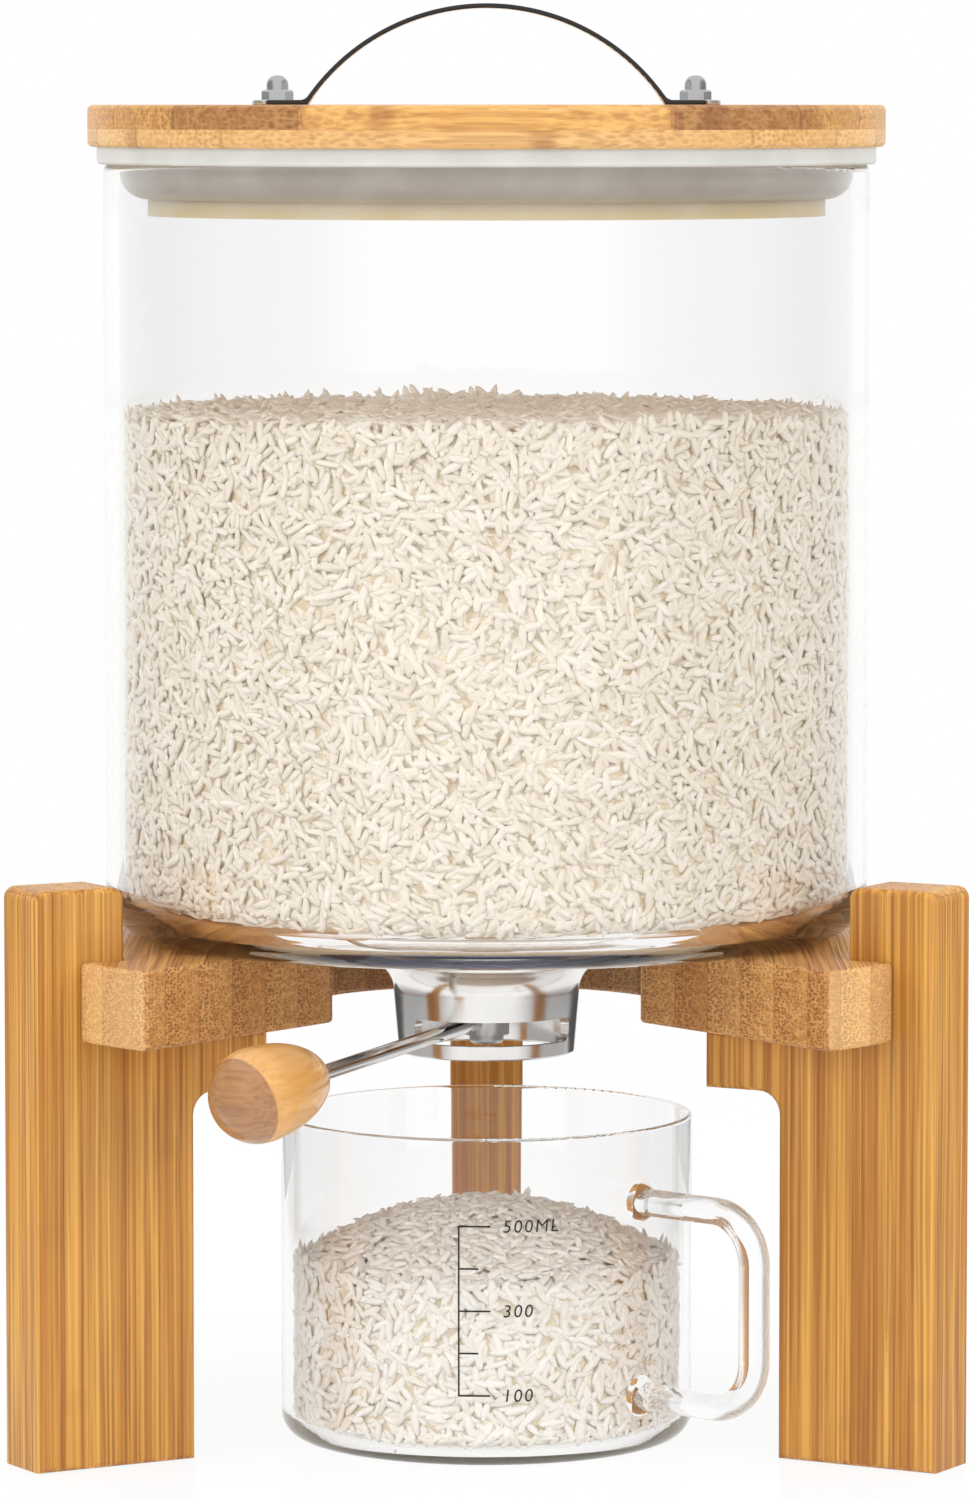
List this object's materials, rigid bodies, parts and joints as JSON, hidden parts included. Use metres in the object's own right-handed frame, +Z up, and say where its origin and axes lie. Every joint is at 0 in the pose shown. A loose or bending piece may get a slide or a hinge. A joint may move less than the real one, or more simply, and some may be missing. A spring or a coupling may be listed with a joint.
{
  "type": "rice dispenser",
  "caption": "Glass rice dispenser with a bamboo lid, on a bamboo plank stand, with a lever-worked rotary valve over a glass measuring cup.",
  "frame": {"origin": "on the worktop, in the middle of the space that the object fills", "axes": "+Z up; -Y is the front, which the lever and the gap in the shelf face; +X to the right seen from the front"},
  "size_m": [0.25, 0.2488, 0.3737],
  "materials": {
    "leg_bamboo": "satin",
    "shelf_bamboo": "satin",
    "lid_bamboo": "satin",
    "dowel_wood": "matte",
    "knob_wood": "gloss",
    "jar_glass": "gloss",
    "cup_glass": "gloss",
    "polished_steel": "polished",
    "brushed_steel": "brushed",
    "zinc_steel": "satin",
    "gasket_rubber": "matte",
    "seal_silicone": "satin"
  },
  "bodies": {
    "stand": {"left_leg": "leg_bamboo", "right_leg": "leg_bamboo", "back_leg": "leg_bamboo", "ring_shelf": "shelf_bamboo", "leg_screws": "zinc_steel", "leg_dowels": "dowel_wood"},
    "jar": {"glass_jar": "jar_glass", "valve_body": "polished_steel", "lower_gasket": "gasket_rubber", "upper_gasket": "gasket_rubber", "lock_nut": "polished_steel", "port_plate": "brushed_steel", "retaining_ring": "zinc_steel", "pivot_screw": "zinc_steel", "stop_pin": "zinc_steel"},
    "lever": {"shutter": "brushed_steel", "lever_rod": "polished_steel", "lever_knob": "knob_wood"},
    "lid": {"lid_top_ply": "lid_bamboo", "lid_lower_ply": "lid_bamboo", "lid_plug": "lid_bamboo", "lid_seal": "seal_silicone", "lid_handle": "polished_steel", "handle_screws": "zinc_steel", "cap_nuts": "polished_steel"},
    "cup": {"cup_glass": "cup_glass"}
  },
  "joints": [
    {"name": "jar_lift", "type": "slide", "parent": "stand", "child": "jar", "axis": [0, 0, 1], "range_m": [0, 0.1]},
    {"name": "lever_swing", "type": "hinge", "parent": "jar", "child": "lever", "pos_m": [0, -0.01256, 0.107], "axis": [0, 0, 1], "range_deg": [0, 56]},
    {"name": "lid_lift", "type": "slide", "parent": "jar", "child": "lid", "axis": [0, 0, 1], "range_m": [0, 0.06]},
    {"name": "cup_slide", "type": "slide", "parent": "stand", "child": "cup", "axis": [0, -1, 0], "range_m": [0, 0.18]}
  ]
}
